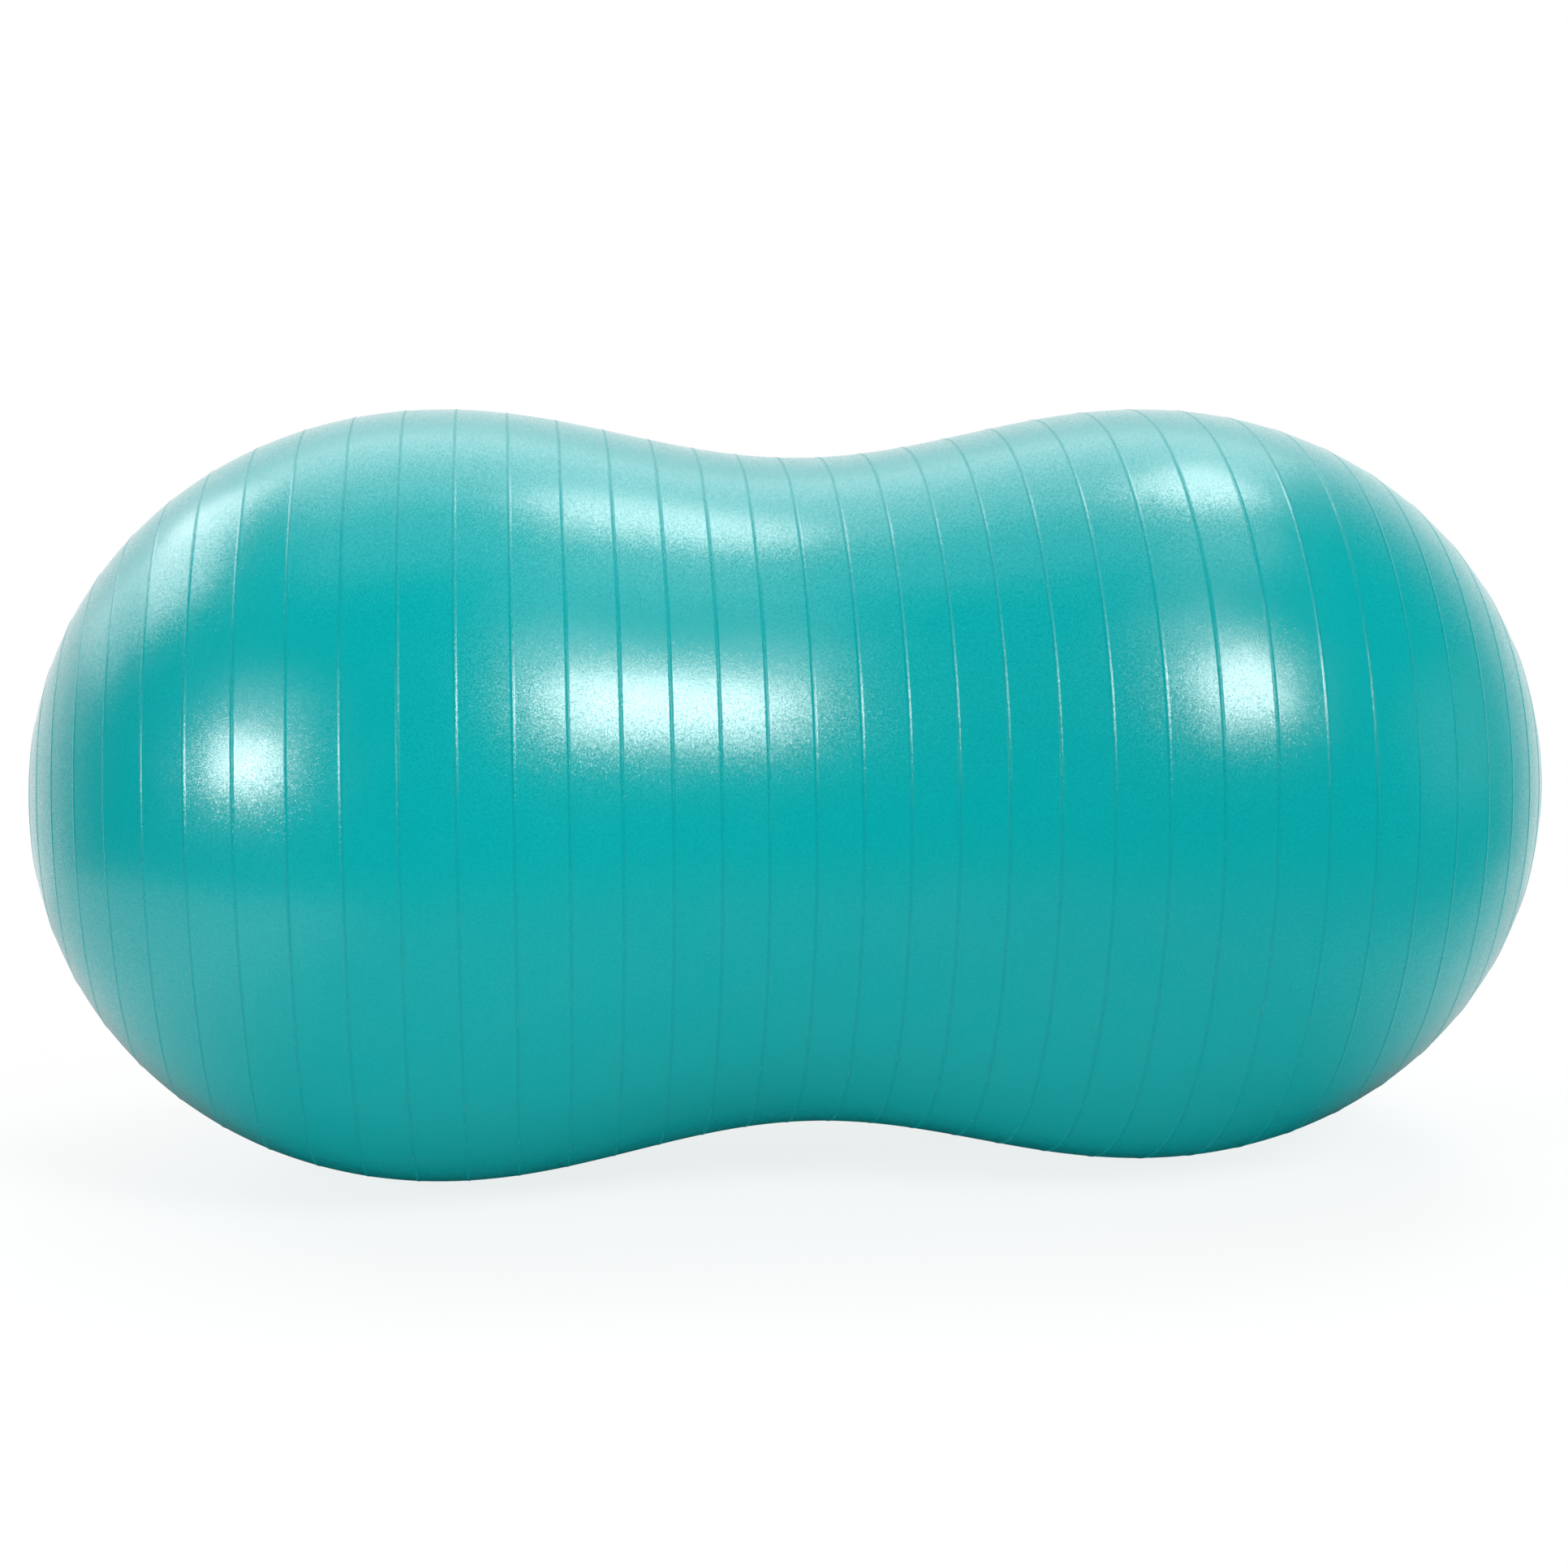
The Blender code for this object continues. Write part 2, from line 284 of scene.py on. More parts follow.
def turned_surface(name, along, radius, sides, closed=False):
    """A profile turned round the ball's long axis. Returns the piece, and each point's row in the profile.

    Row i and column j give x = along[i], y = radius[i] * sin(t), z = axis height - radius[i] * cos(t), with
    t = 2 pi j / sides. Where the profile starts or ends on the axis, that row is one point closed by a fan.
    A closed profile joins its last row to its first.
    """
    rows = len(along)
    start_pole = not closed and radius[0] < ON_AXIS
    end_pole = not closed and radius[-1] < ON_AXIS
    turn = np.arange(sides) * 2 * np.pi / sides
    grid = np.empty((rows, sides, 3))
    grid[:, :, 0] = along[:, None]
    grid[:, :, 1] = radius[:, None] * np.sin(turn)
    grid[:, :, 2] = AXIS_HEIGHT - radius[:, None] * np.cos(turn)
    first = 1 if start_pole else 0
    last = rows - 1 if end_pole else rows
    count = (last - first) * sides
    points = [grid[first:last].reshape(-1, 3)]
    row_of_point = [np.repeat(np.arange(first, last), sides)]
    index = np.arange(count).reshape(-1, sides)
    if closed:
        index = np.vstack([index, index[:1]])
    near, far = index[:-1], index[1:]
    quads = np.stack([near, np.roll(near, -1, 1), np.roll(far, -1, 1), far], -1).reshape(-1, 4)
    faces = quads.tolist()
    if start_pole:
        points.append(grid[0, :1])
        row_of_point.append([0])
        faces += np.stack([np.full(sides, count), np.roll(index[0], -1), index[0]], -1).tolist()
        count += 1
    if end_pole:
        points.append(grid[-1, :1])
        row_of_point.append([rows - 1])
        faces += np.stack([index[-1], np.roll(index[-1], -1), np.full(sides, count)], -1).tolist()
    mesh = bpy.data.meshes.new(name)
    mesh.from_pydata(np.concatenate(points).tolist(), [], faces)
    mesh.shade_smooth()
    mesh.validate()
    piece = bpy.data.objects.new(name, mesh)
    bpy.context.scene.collection.objects.link(piece)
    return piece, np.concatenate(row_of_point)


def rounded(corners, closed=False):
    """A line through (along, radius, fillet) corners, with each corner turned into a curve.

    The curve starts and ends one fillet from the corner, or just under half a side where that is less, and is
    the parabola (1 - t)^2 start + 2 t (1 - t) corner + t^2 end.
    """
    places = np.array([corner[:2] for corner in corners])
    line = []
    for i, (_, _, fillet) in enumerate(corners):
        here = places[i]
        if fillet == 0 or (not closed and i in (0, len(corners) - 1)):
            line.append(here[None])
            continue
        back = places[i - 1] - here
        on = places[(i + 1) % len(corners)] - here
        start = here + back * (min(fillet, FILLET_SHARE * np.hypot(*back)) / np.hypot(*back))
        end = here + on * (min(fillet, FILLET_SHARE * np.hypot(*on)) / np.hypot(*on))
        t = np.linspace(0, 1, FILLET_POINTS)[:, None]
        line.append((1 - t) ** 2 * start + 2 * t * (1 - t) * here + t**2 * end)
    line = np.concatenate(line)
    return line[:, 0], line[:, 1]


def skin_profile(outline):
    """The closed skin's profile from the -X end, over the outside, through the valve's hole and back inside.

    Outside, each ring is a bead of seven points with one more beside each foot, and each band between rings
    has three. Across a bead, with u from -1 to 1, the height is 1 - |u|^curve, which is nearly a roof.
    Inside, the profile is plain. It doubles back on itself where the hole's lip starts and inside the -X end.
    Returns along, radius, the height of the bead from 0 to 1, and how many of the points are outside.
    """
    s = outline.sizes
    v = valve()
    bead = np.array(BEAD_PLACES)
    bead_shape = 1 - np.abs(bead.clip(-1, 1)) ** s.ring_curve
    foot = bead[-1] * s.ring_width / 2
    ends = outline.rings[1:] - foot
    starts = outline.rings[:-1] + foot
    share = np.arange(1, BAND_POINTS + 1) / (BAND_POINTS + 1)
    bands = (starts[:, None] + (ends - starts)[:, None] * share).ravel()
    middle = np.linspace(0.0, outline.rings[0] - foot, BAND_POINTS + 1)[:-1]
    beads = (outline.rings[:, None] + bead * s.ring_width / 2).ravel()
    arcs = np.concatenate([middle, bands, beads])
    plain_heights = np.zeros(len(middle) + len(bands))
    heights = np.concatenate([plain_heights, np.tile(bead_shape, len(outline.rings))])
    order = np.argsort(arcs)
    arcs, heights = arcs[order], heights[order]
    along, radius = outline.lifted(arcs, heights * s.ring_height)

    ring_end_radius = outline.smooth(np.array([outline.rings[-1] + foot]))[1]
    cap_radii = np.linspace(CAP_START, 0.0, CAP_POINTS) * ring_end_radius
    cap = np.array([outline.arc_at_radius(size) for size in cap_radii])
    cap_along, cap_radius = outline.smooth(cap)
    cap_radius[-1] = 0.0

    hole_radius = v.head_radius + v.seat_rim + 2 * v.clearance
    edge = hole_radius + s.wall / 4
    to_hole = cap_radius > edge + LIP_REACH / 2
    hole_along = outline.along_at_radius(edge)
    lip = rounded(
        [
            (outline.along_at_radius(edge + LIP_REACH), edge + LIP_REACH, 0.0),
            (hole_along, hole_radius, s.wall / 3),
            (hole_along - s.wall, hole_radius, 0.0),
        ]
    )
    inner_arcs = np.concatenate([outline.rings, cap[to_hole]])
    inner_along, inner_radius = outline.lifted(inner_arcs[np.argsort(-inner_arcs)], -s.wall)
    pole_arcs = np.array([outline.arc_at_radius(size) for size in INNER_END_RADII])
    pole_along, pole_radius = outline.lifted(pole_arcs, -s.wall)

    right_along = np.concatenate([along[1:], cap_along[to_hole]])
    right_radius = np.concatenate([radius[1:], cap_radius[to_hole]])
    parts = [
        (-np.concatenate([along, cap_along])[::-1], np.concatenate([radius, cap_radius])[::-1]),
        (right_along, right_radius),
        lip,
        (inner_along, inner_radius),
        (-inner_along[::-1], inner_radius[::-1]),
        (np.append(-pole_along, -s.half_length + s.wall), np.append(pole_radius, 0.0)),
    ]
    full_along = np.concatenate([part[0] for part in parts])
    full_radius = np.concatenate([part[1] for part in parts])
    outer_heights = np.concatenate([np.zeros(len(cap_along)), heights[::-1], heights[1:]])
    full_heights = np.zeros(len(full_along))
    full_heights[: len(outer_heights)] = outer_heights
    outer_count = sum(len(part[0]) for part in parts[:3]) - 1
    return full_along, full_radius, full_heights, outer_count


def press_flat(piece, outside, s):
    """Presses the skin onto the floor: z becomes (z + sqrt(z^2 + softness^2)) / 2, one wall higher inside."""
    places = np.empty(len(piece.data.vertices) * 3)
    piece.data.vertices.foreach_get("co", places)
    places = places.reshape(-1, 3)
    base = np.where(outside, 0.0, s.wall)
    above = places[:, 2] - base
    places[:, 2] = base + (above + np.sqrt(above**2 + s.press_softness**2)) / 2
    piece.data.vertices.foreach_set("co", places.ravel())


def make_skin():
    """The inflated skin: one closed turned surface with the valve's hole, pressed flat where it rests."""
    s = sizes()
    along, radius, heights, outer_count = skin_profile(Outline(s))
    piece, row_of_point = turned_surface("inflated_skin", along, radius, s.sides)
    bead = piece.data.attributes.new("bead", "FLOAT", "POINT")
    bead.data.foreach_set("value", heights[row_of_point].astype(np.float32))
    press_flat(piece, row_of_point < outer_count, s)
    piece.data.update()
    return piece


def make_seat():
    """The valve's seat: rim, recess and bore, with its flange and boss under the skin."""
    v = valve()
    outline = Outline(sizes())
    recess = v.head_radius + v.clearance
    neck = recess + v.seat_rim
    hole = neck + v.clearance
    bore = v.core_radius + v.barb_rise + v.clearance
    boss = bore + v.boss_wall
    flange = (SEAT_HIGH.z - SEAT_LOW.z) / 2
    face = outline.along_at_radius(neck)
    rim = outline.along_at_radius(recess)
    under = sizes().wall + v.clearance
    neck_foot = outline.along_at_radius(hole) - under
    flange_top = outline.along_at_radius(flange) - under
    flange_foot = neck_foot - v.flange_thickness
    floor = rim - v.head_thickness - v.clearance
    # (along, radius, fillet) from the bore's inner end, over the boss and flange, to the face and the recess
    corners = [
        (SEAT_LOW.x, bore, 0.0004),
        (SEAT_LOW.x, boss - v.boss_draft, 0.0008),
        (flange_foot - v.flange_thickness, boss, 0.0010),
        (flange_foot, boss + v.flange_thickness, 0.0010),
        (flange_top - v.flange_thickness / 2, flange, 0.0004),
        (flange_top, flange, 0.0004),
        (neck_foot, neck, 0.0002),
        (face, neck, 0.0005),
        (rim, recess, 0.0005),
        (floor, recess, 0.0003),
        (floor, bore, 0.0003),
    ]
    along, radius = rounded(corners, closed=True)
    return turned_surface("valve_seat_ring", along, radius, v.sides, closed=True)[0]


def make_plug():
    """The plug: a crowned head with a small gate mark, a barbed stem and a rounded tip."""
    v = valve()
    rim = PLUG_HIGH.x
    under_head = rim - v.head_thickness
    tip = PLUG_LOW.x
    gate = v.head_radius / 6
    # (along, radius, fillet) from the tip, over the barbs, to the middle of the head
    corners = [
        (tip, 0.0, 0.0),
        (tip, v.tip_radius / 2, 0.0006),
        (tip + v.tip_radius / 4, v.tip_radius, 0.0006),
        (tip + v.tip_length, v.core_radius, 0.0005),
    ]
    for barb in range(v.barbs):
        front = tip + v.tip_length + barb * v.barb_length + v.barb_rise / 2
        back = tip + v.tip_length + (barb + 1) * v.barb_length
        corners += [
            (front, v.core_radius, 0.0004),
            (back - v.barb_rise / 2, v.core_radius + v.barb_rise, 0.0003),
            (back, v.core_radius, 0.0003),
        ]
    corners += [
        (under_head, v.core_radius, 0.0006),
        (under_head, v.head_radius, 0.0005),
        (rim - v.head_crown, v.head_radius, 0.0007),
        (rim - v.head_crown / 5, v.head_radius / 2, 0.003),
        (rim, gate * 1.3, 0.0003),
        (rim - v.head_crown / 2, gate, 0.0003),
        (rim - v.head_crown / 2, 0.0, 0.0),
    ]
    along, radius = rounded(corners)
    return turned_surface("push_in_plug", along, radius, v.sides)[0]


def feed(tree, node, inputs):
    """Links each of a node's inputs to a socket, or sets it to a plain value. Inputs go by name or number."""
    for key, value in inputs.items():
        if isinstance(value, NodeSocket):
            tree.links.new(value, node.inputs[key])
        else:
            node.inputs[key].default_value = value


def add_node(tree, kind, inputs=None, **settings):
    """A new node with its settings, and with its inputs fed."""
    node = tree.nodes.new(kind)
    for label, value in settings.items():
        setattr(node, label, value)
    feed(tree, node, inputs or {})
    return node


def maths(tree, operation, *values):
    """The result of a maths node, given sockets or plain numbers."""
    return add_node(tree, "ShaderNodeMath", dict(enumerate(values)), operation=operation).outputs[0]


def vector_maths(tree, operation, *values):
    """The result of a vector maths node, given sockets or plain vectors."""
    return add_node(tree, "ShaderNodeVectorMath", dict(enumerate(values)), operation=operation).outputs[0]


def map_range(tree, value, low, high, to_low=0.0, to_high=1.0, smooth=False):
    """The value's low to high spread over to_low to to_high and held there, with soft ends if smooth."""
    inputs = {"Value": value, "From Min": low, "From Max": high, "To Min": to_low, "To Max": to_high}
    shape = "SMOOTHSTEP" if smooth else "LINEAR"
    return add_node(tree, "ShaderNodeMapRange", inputs, interpolation_type=shape).outputs["Result"]


def new_material(name, viewport_colour):
    """A node material with a Principled shader, and its tree and shader."""
    material = bpy.data.materials.new(name)
    material.use_nodes = True
    material.diffuse_color = (*viewport_colour, 1.0)
    return material, material.node_tree, material.node_tree.nodes["Principled BSDF"]


def grain_group():
    """Fine sandy grain: small cells, each tilted its own way.

    Inputs: Size of a cell, Tilt as the steepest slope, Mask as the grain's strength. Outputs: Normal; Mottle,
    a soft cloud; and Speckle, a random number from 0 to 1 for each cell.
    A cell's tilt along each axis is 4 r |r| * Tilt * Mask, where r is a random number from -0.5 to 0.5.
    """
    group = bpy.data.node_groups.new("sandy_grain", "ShaderNodeTree")
    for label, default in (("Size", 0.001), ("Tilt", 0.1), ("Mask", 1.0)):
        socket = group.interface.new_socket(name=label, in_out="INPUT", socket_type="NodeSocketFloat")
        socket.default_value = default
    for label, kind in (("Normal", "Vector"), ("Mottle", "Float"), ("Speckle", "Float")):
        group.interface.new_socket(name=label, in_out="OUTPUT", socket_type="NodeSocket" + kind)

    given = add_node(group, "NodeGroupInput").outputs
    place = add_node(group, "ShaderNodeTexCoord").outputs["Object"]
    cell = {"Vector": place, "Scale": maths(group, "DIVIDE", 1.0, given["Size"])}
    speckle = add_node(group, "ShaderNodeTexVoronoi", cell).outputs["Color"]
    centred = vector_maths(group, "SUBTRACT", speckle, (0.5, 0.5, 0.5))
    squared = vector_maths(group, "MULTIPLY", centred, vector_maths(group, "ABSOLUTE", centred))
    steepness = maths(group, "MULTIPLY", maths(group, "MULTIPLY", given["Tilt"], given["Mask"]), 4.0)
    scaling = {"Vector": squared, "Scale": steepness}
    tilt = add_node(group, "ShaderNodeVectorMath", scaling, operation="SCALE").outputs["Vector"]
    facing = add_node(group, "ShaderNodeNewGeometry").outputs["Normal"]
    normal = vector_maths(group, "NORMALIZE", vector_maths(group, "ADD", facing, tilt))
    cloud = add_node(group, "ShaderNodeTexNoise", {"Vector": place, "Scale": 38.0, "Detail": 4.0})
    mottle = cloud.outputs["Fac"]
    feed(group, add_node(group, "NodeGroupOutput"), {"Normal": normal, "Mottle": mottle, "Speckle": speckle})
    return group


def shared_grain():
    """The grain group, made once."""
    return bpy.data.node_groups.get("sandy_grain") or grain_group()


def grained(tree, size, tilt, mask=1.0):
    """The outputs of the grain group placed in a material, with its cell size, steepest tilt and strength."""
    inputs = {"Size": size, "Tilt": tilt, "Mask": mask}
    return add_node(tree, "ShaderNodeGroup", inputs, node_tree=shared_grain()).outputs


def mottled(tree, grain, low, high):
    """The grain's soft cloud spread over low to high."""
    return map_range(tree, grain["Mottle"], *CLOUD_RANGE, low, high)


def varied_colour(tree, factor, base, spread):
    """A colour from base darkened by spread to base lightened by it, as factor runs from 0 to 1."""
    darker = [part * (1 - spread) for part in base]
    lighter = [min(part * (1 + spread), 1.0) for part in base]
    inputs = {"Factor": factor, "A": (*darker, 1.0), "B": (*lighter, 1.0)}
    return add_node(tree, "ShaderNodeMix", inputs, data_type="RGBA").outputs["Result"]


def skin_material():
    """Satin teal vinyl with a sandy grain.

    Part of its gloss is a coat whose strength differs from grain to grain, so haze and highlights look sandy.
    The beads are bare of that coat, so they show as dark lines in the gloss. They are also more heavily
    grained and a little rougher, and their colour is pulled darker as painted shade, so they read as shaded
    lines.
    """
    f = finish()
    base = tuple(f.skin_colour)
    material, tree, shader = new_material("teal_vinyl_skin", base)
    bead = add_node(tree, "ShaderNodeAttribute", attribute_name="bead").outputs["Fac"]
    mask = map_range(tree, bead, 0.0, 0.5, to_low=1.0, to_high=BEAD_GRAIN)
    grain = grained(tree, f.grain_size, f.grain_tilt, mask)
    # painted shade: the beads' colour is pulled darker so the rings read as shaded lines; the speckle adds
    # the grain's random tone
    speckle_and_bead_shade = maths(tree, "MULTIPLY_ADD", bead, BEAD_PAINTED_SHADE, grain["Speckle"])
    bare = maths(tree, "SUBTRACT", 1.0, bead)
    inputs = {
        "Base Color": varied_colour(tree, speckle_and_bead_shade, base, spread=0.15),
        "Normal": grain["Normal"],
        "Roughness": maths(tree, "MULTIPLY_ADD", bead, BEAD_DULLNESS, mottled(tree, grain, 0.17, 0.24)),
        "Coat Weight": map_range(tree, grain["Speckle"], 0.1, 0.9, to_high=bare),
        "Coat Roughness": 0.22,
        "Coat IOR": 1.5,
        "IOR": 1.4,
    }
    feed(tree, shader, inputs)
    return material


def plain_material(name, base, grain_size, grain_tilt, spread, roughness):
    """Moulded plastic or vinyl with a faint grain and cloudy changes of colour and gloss.

    Spread is how far its colour moves either way, and roughness its lowest and highest roughness.
    """
    material, tree, shader = new_material(name, tuple(base))
    grain = grained(tree, grain_size, grain_tilt)
    inputs = {
        "Base Color": varied_colour(tree, grain["Mottle"], tuple(base), spread),
        "Normal": grain["Normal"],
        "Roughness": mottled(tree, grain, *roughness),
    }
    feed(tree, shader, inputs)
    return material


def seat_material():
    """Smoother teal vinyl of the moulded valve seat."""
    return plain_material(
        "teal_vinyl_seat",
        finish().valve_colour,
        grain_size=0.0006,
        grain_tilt=0.04,
        spread=0.04,
        roughness=(0.32, 0.40),
    )


def plug_material():
    """Satin moulded plastic of the plug."""
    return plain_material(
        "white_plug_plastic",
        finish().plug_colour,
        grain_size=0.0004,
        grain_tilt=0.03,
        spread=0.02,
        roughness=(0.28, 0.36),
    )


def soft_box(name, place, aim, width, height, radiance, spread=180.0):
    """A rectangular lamp that looks at aim. Its power is radiance * pi * area * grid.

    A spread under 180 degrees is a grid on the box: off its axis the light fades to nothing at half the
    spread, and grid = 1 - half / tan(half) keeps the radiance on the axis.
    """
    half = math.radians(spread) / 2
    grid = 1 - half / math.tan(half)
    lamp = bpy.data.lights.new(name, "AREA")
    lamp.shape = "RECTANGLE"
    lamp.size = width
    lamp.size_y = height
    lamp.energy = radiance * math.pi * width * height * grid * studio().light_level
    lamp.spread = 2 * half
    box = bpy.data.objects.new(name, lamp)
    box.location = place
    box.rotation_euler = (Vector(aim) - Vector(place)).to_track_quat("-Z", "Y").to_euler()
    box.visible_camera = False
    bpy.context.scene.collection.objects.link(box)
    return box


def box_round(name, aim, azimuth, elevation, distance, **light):
    """A soft box at a distance from its aim. Azimuth 0 is towards -Y and grows towards +X, in degrees."""
    a, e = math.radians(azimuth), math.radians(elevation)
    way = Vector((math.sin(a) * math.cos(e), -math.cos(a) * math.cos(e), math.sin(e)))
    return soft_box(name, Vector(aim) + way * distance, aim, **light)


def make_lamps():
    """The studio's soft boxes.

    Two bright boxes stand in front, each with a taller dim one round its upper part. Two strips stand behind
    on the left and a box high behind on the right, and dim panels hang overhead. The right fill lights the
    ball but isn't mirrored in it.
    """
    left_lobe = (-0.306, -0.204, 0.275)
    left_shoulder = (-0.35, -0.11, 0.37)
    waist = (-0.09, -0.2, 0.30)
    middle = (0.0, 0.0, 0.226)
    box_round("left_box", left_lobe, -52.2, 14, 2.0, width=0.66, height=0.49, radiance=22.0)
    box_round("left_halo", left_lobe, -51.5, 22, 2.2, width=1.0, height=1.1, radiance=1.7)
    left_end = (-0.45, -0.2, 0.30)
    soft_box(
        "right_box", (0.76, -1.59, 1.32), left_end, width=0.64, height=0.64, radiance=24.0, spread=96.0
    )
    soft_box("right_halo", (0.67, -1.63, 1.8), waist, width=0.65, height=1.1, radiance=2.4)
    box_round("back_left_strip", left_shoulder, -127, 38, 2.5, width=1.6, height=0.85, radiance=3.7)
    box_round("low_left_strip", left_shoulder, -125, 20, 2.6, width=1.3, height=0.7, radiance=1.1)
    soft_box("high_box", (1.4, 1.1, 4.5), (0.0, 0.0, 0.4), width=1.2, height=1.4, radiance=6.6)
    box_round("back_ceiling", middle, 175, 62, 3.2, width=3.6, height=2.2, radiance=1.3)
    box_round("top_ceiling", middle, 0, 88, 3.0, width=3.6, height=1.5, radiance=0.65)
    box_round("front_fill", waist, 60, 66, 3.0, width=1.8, height=0.9, radiance=0.75)
    right_fill = box_round("right_fill", middle, 85, 8, 3.0, width=1.6, height=1.2, radiance=7.5)
    right_fill.visible_glossy = False


def floor_material():
    """A matt pale floor that shows each kind of ray its own share of glow.

    A camera ray sees 0.8 of a white glow within 0.18 m of the waist and nothing but the glow from 0.5 m on,
    with the distance taken as the length of (x / 2, y), so the floor runs into white but keeps the ball's
    shadow. A diffuse ray sees 0.8 of a glow of 1.2, as from a brightly lit white floor. A glossy ray sees
    only a glow of 0.75 * (rise of |x| from 0.3 to 0.6) * (rise of y - 0.56 x from -0.75 to -0.3), so in the
    ball's gloss the floor is dark under the waist and grows pale along the ball and towards the back.
    """
    pale = tuple(studio().floor_colour)
    material, tree, shader = new_material("pale_floor", pale)
    feed(tree, shader, {"Base Color": (*pale, 1.0), "Roughness": 0.9, "Specular IOR Level": 0.0})
    place = add_node(tree, "ShaderNodeTexCoord").outputs["Object"]
    ray = add_node(tree, "ShaderNodeLightPath").outputs

    oval = vector_maths(tree, "MULTIPLY", place, (0.5, 1.0, 0.0))
    distance = add_node(tree, "ShaderNodeVectorMath", {0: oval}, operation="LENGTH").outputs["Value"]
    fade = map_range(tree, distance, 0.18, 0.5, to_low=0.8, smooth=True)
    bounce = maths(tree, "MULTIPLY", ray["Is Diffuse Ray"], 0.8)
    seen = maths(tree, "MULTIPLY_ADD", fade, ray["Is Camera Ray"], bounce)
    brightness = maths(tree, "MULTIPLY_ADD", ray["Is Diffuse Ray"], 0.2, 1.0)
    white = add_node(tree, "ShaderNodeEmission", {"Strength": brightness}).outputs["Emission"]
    lit = add_node(tree, "ShaderNodeMixShader", {0: seen, 1: shader.outputs["BSDF"], 2: white})

    # painted reflection: a glow seen only by glossy rays, a pool of light along the ball with painted shadow
    # under the waist
    axes = add_node(tree, "ShaderNodeSeparateXYZ", {"Vector": place}).outputs
    along = map_range(tree, maths(tree, "ABSOLUTE", axes["X"]), 0.3, 0.6, to_high=0.75, smooth=True)
    slant = maths(tree, "MULTIPLY_ADD", axes["X"], -0.56, axes["Y"])
    pool = maths(tree, "MULTIPLY", along, map_range(tree, slant, -0.75, -0.3, smooth=True))
    painted_reflection_glow = add_node(tree, "ShaderNodeEmission", {"Strength": pool}).outputs["Emission"]
    shares = {0: ray["Is Glossy Ray"], 1: lit.outputs["Shader"], 2: painted_reflection_glow}
    surface = add_node(tree, "ShaderNodeMixShader", shares).outputs["Shader"]
    feed(tree, tree.nodes["Material Output"], {"Surface": surface})
    return material


def make_floor():
    """The floor: a flat oval, with its edge at (half length * cos(t), half width * sin(t))."""
    t = np.arange(FLOOR_EDGE_POINTS) * 2 * np.pi / FLOOR_EDGE_POINTS
    edge = np.stack([FLOOR_HALF_LENGTH * np.cos(t), FLOOR_HALF_WIDTH * np.sin(t), np.zeros_like(t)], 1)
    mesh = bpy.data.meshes.new("studio_floor")
    mesh.from_pydata(edge.tolist(), [], [tuple(range(FLOOR_EDGE_POINTS))])
    mesh.materials.append(floor_material())
    floor = bpy.data.objects.new("studio_floor", mesh)
    bpy.context.scene.collection.objects.link(floor)


def make_world():
    """White to the camera. To the ball, a pale backdrop behind it that fades into a dim room in front."""
    world = bpy.data.worlds.new("studio_room")
    bpy.context.scene.world = world
    world.use_nodes = True
    tree = world.node_tree
    tree.nodes.clear()
    place = add_node(tree, "ShaderNodeTexCoord").outputs["Generated"]
    towards = add_node(tree, "ShaderNodeSeparateXYZ", {"Vector": place}).outputs
    behind = map_range(tree, towards["Y"], 0.15, 0.85, to_low=0.03, smooth=True)
    paint = (1.0, 1.0, 1.0, 1.0)
    room = add_node(tree, "ShaderNodeBackground", {"Color": paint, "Strength": behind})
    white = add_node(tree, "ShaderNodeBackground", {"Color": paint})
    to_camera = add_node(tree, "ShaderNodeLightPath").outputs["Is Camera Ray"]
    shares = {0: to_camera, 1: room.outputs["Background"], 2: white.outputs["Background"]}
    surface = add_node(tree, "ShaderNodeMixShader", shares).outputs["Shader"]
    add_node(tree, "ShaderNodeOutputWorld", {"Surface": surface})


def make_camera():
    """The photograph's viewpoint: a little above the ball and left of its waist."""
    data = bpy.data.cameras.new("photo_camera")
    data.lens = CAMERA_LENS
    data.sensor_width = CAMERA_SENSOR
    camera = bpy.data.objects.new("photo_camera", data)
    camera.location = CAMERA_PLACE
    camera.rotation_euler = (Vector(CAMERA_AIM) - Vector(CAMERA_PLACE)).to_track_quat("-Z", "Y").to_euler()
    bpy.context.scene.collection.objects.link(camera)
    bpy.context.scene.camera = camera


class PEANUTBALL_OT_skin(Operator):
    """Add the inflated skin with its raised rings"""

    bl_idname = "peanut_ball.skin"
    bl_label = "Inflated Skin"

    def execute(self, context):
        piece = make_skin()
        piece.data.materials.append(skin_material())
        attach(piece, "ball")
        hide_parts("ball_skin")
        return {"FINISHED"}


class PEANUTBALL_OT_valve_seat(Operator):
    """Add the valve's seat in the +X end"""

    bl_idname = "peanut_ball.valve_seat"
    bl_label = "Valve Seat"

    def execute(self, context):
        piece = make_seat()
        piece.data.materials.append(seat_material())
        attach(piece, "ball")
        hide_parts("valve_seat")
        return {"FINISHED"}


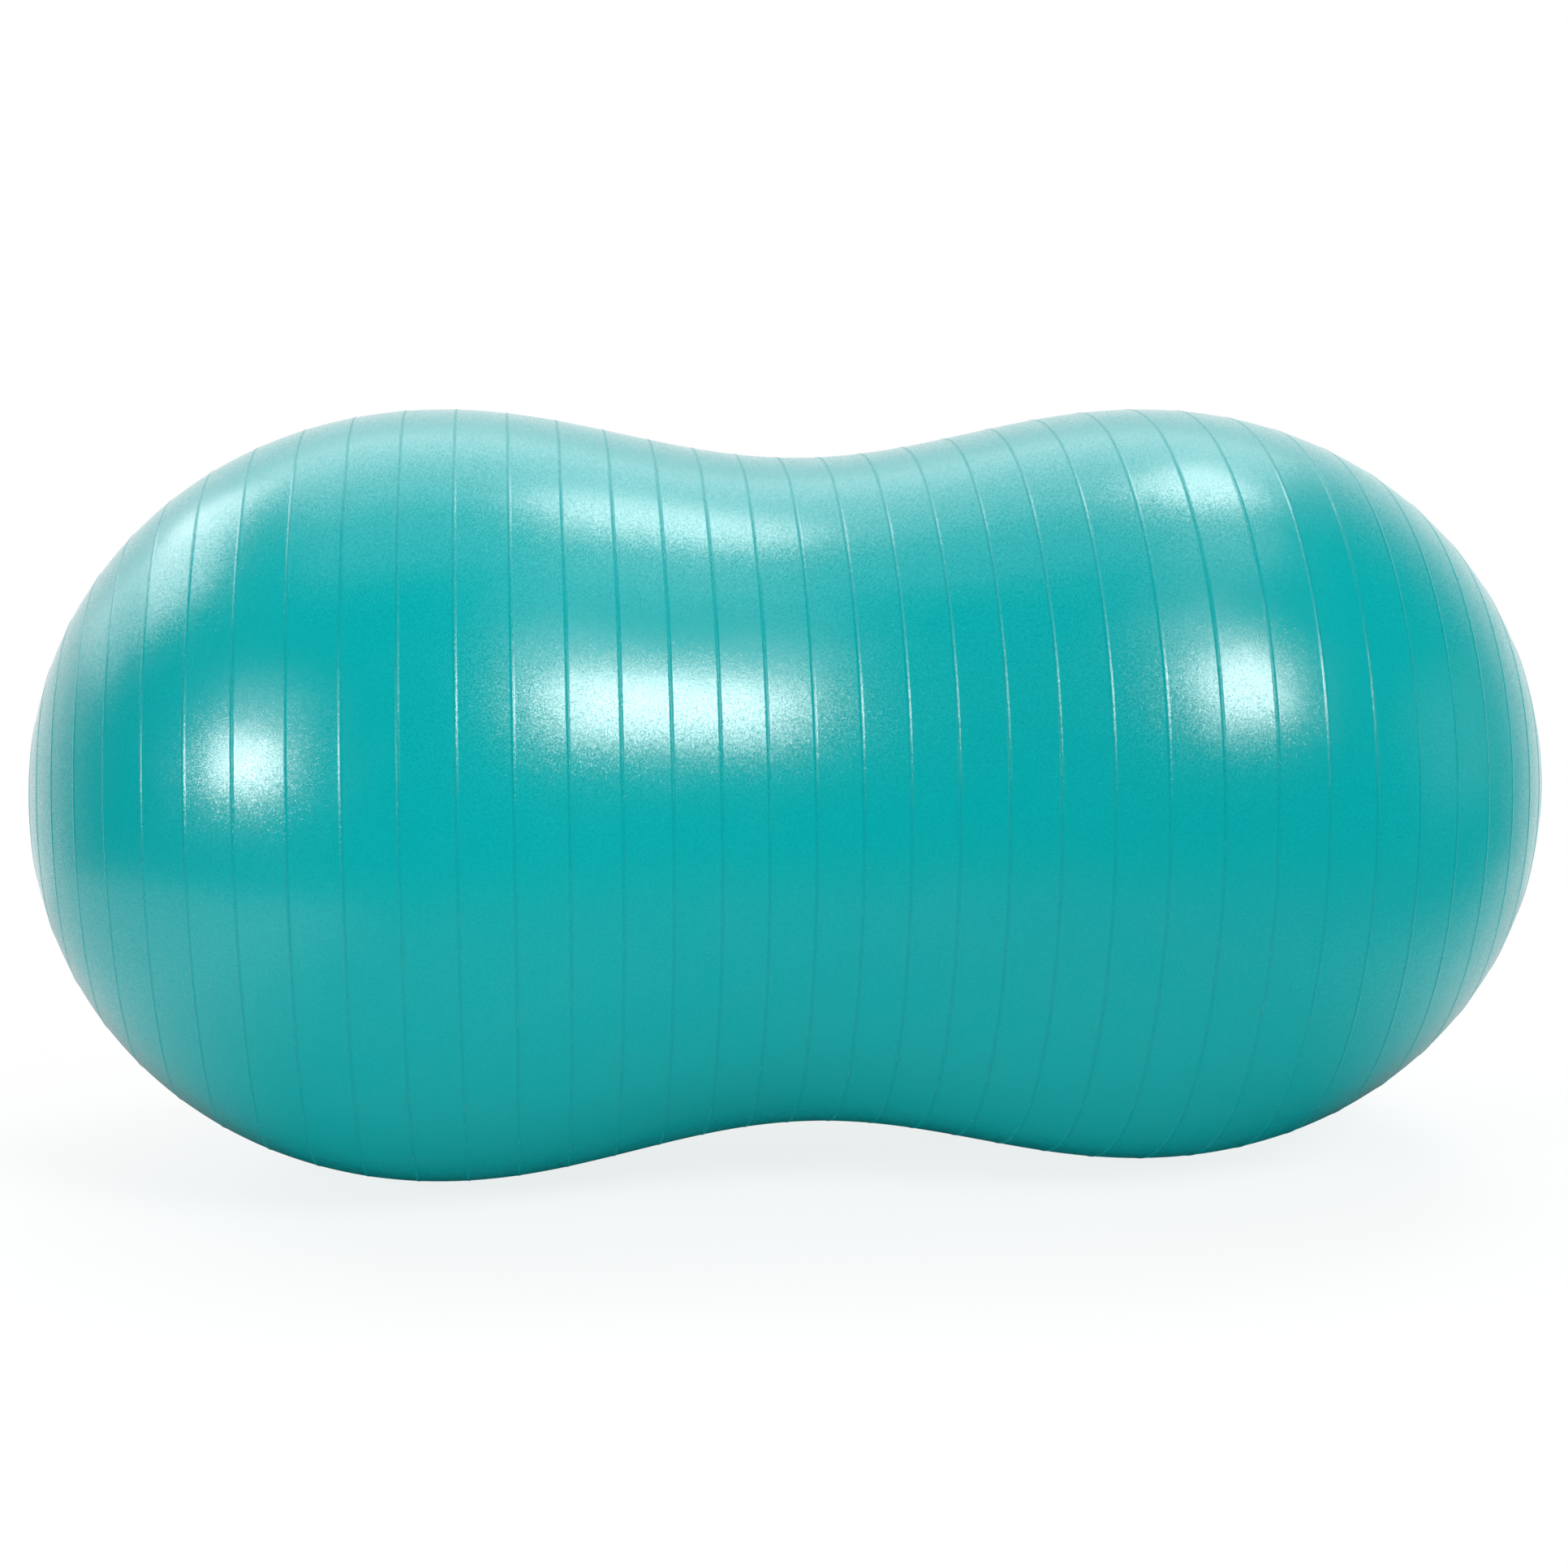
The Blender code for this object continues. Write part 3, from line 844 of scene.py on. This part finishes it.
class PEANUTBALL_OT_valve_plug(Operator):
    """Add the push-in plug with its barbed stem"""

    bl_idname = "peanut_ball.valve_plug"
    bl_label = "Valve Plug"

    def execute(self, context):
        piece = make_plug()
        piece.data.materials.append(plug_material())
        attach(piece, "plug")
        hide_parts("valve_plug")
        return {"FINISHED"}


class PEANUTBALL_OT_stage(Operator):
    """Add the pale floor, the soft lamps, the white room and the camera"""

    bl_idname = "peanut_ball.stage"
    bl_label = "Studio"

    def execute(self, context):
        make_floor()
        make_world()
        make_lamps()
        make_camera()
        context.scene.view_settings.view_transform = "Standard"
        return {"FINISHED"}


OPERATORS = (
    PEANUTBALL_OT_skin,
    PEANUTBALL_OT_valve_seat,
    PEANUTBALL_OT_valve_plug,
    PEANUTBALL_OT_stage,
)

SETTINGS = {
    "peanut_ball_sizes": PeanutBallSizes,
    "peanut_ball_valve": PeanutBallValve,
    "peanut_ball_finish": PeanutBallFinish,
    "peanut_ball_stage": PeanutBallStage,
}


class PEANUTBALL_PT_panel(Panel):
    """Lists the pieces and the studio in the 3D view's sidebar"""

    bl_label = "Peanut Ball"
    bl_space_type = "VIEW_3D"
    bl_region_type = "UI"
    bl_category = "Peanut Ball"

    def draw(self, context):
        for operator in OPERATORS:
            self.layout.operator(operator.bl_idname)
        for group in SETTINGS:
            box = self.layout.box()
            for field in getattr(context.scene, group).bl_rna.properties:
                if field.identifier not in ("rna_type", "name"):
                    box.prop(getattr(context.scene, group), field.identifier)


def register():
    """Adds the settings, the operators and the panel to Blender."""
    for group, kind in SETTINGS.items():
        bpy.utils.register_class(kind)
        setattr(bpy.types.Scene, group, PointerProperty(type=kind))
    for kind in (*OPERATORS, PEANUTBALL_PT_panel):
        bpy.utils.register_class(kind)


def unregister():
    """Takes the panel, the operators and the settings away again."""
    for kind in reversed((*OPERATORS, PEANUTBALL_PT_panel)):
        bpy.utils.unregister_class(kind)
    for group, kind in SETTINGS.items():
        delattr(bpy.types.Scene, group)
        bpy.utils.unregister_class(kind)


def main():
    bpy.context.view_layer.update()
    register()
    bpy.ops.peanut_ball.skin()
    bpy.ops.peanut_ball.valve_seat()
    bpy.ops.peanut_ball.valve_plug()
    bpy.ops.peanut_ball.stage()


if __name__ == "__main__":
    main()
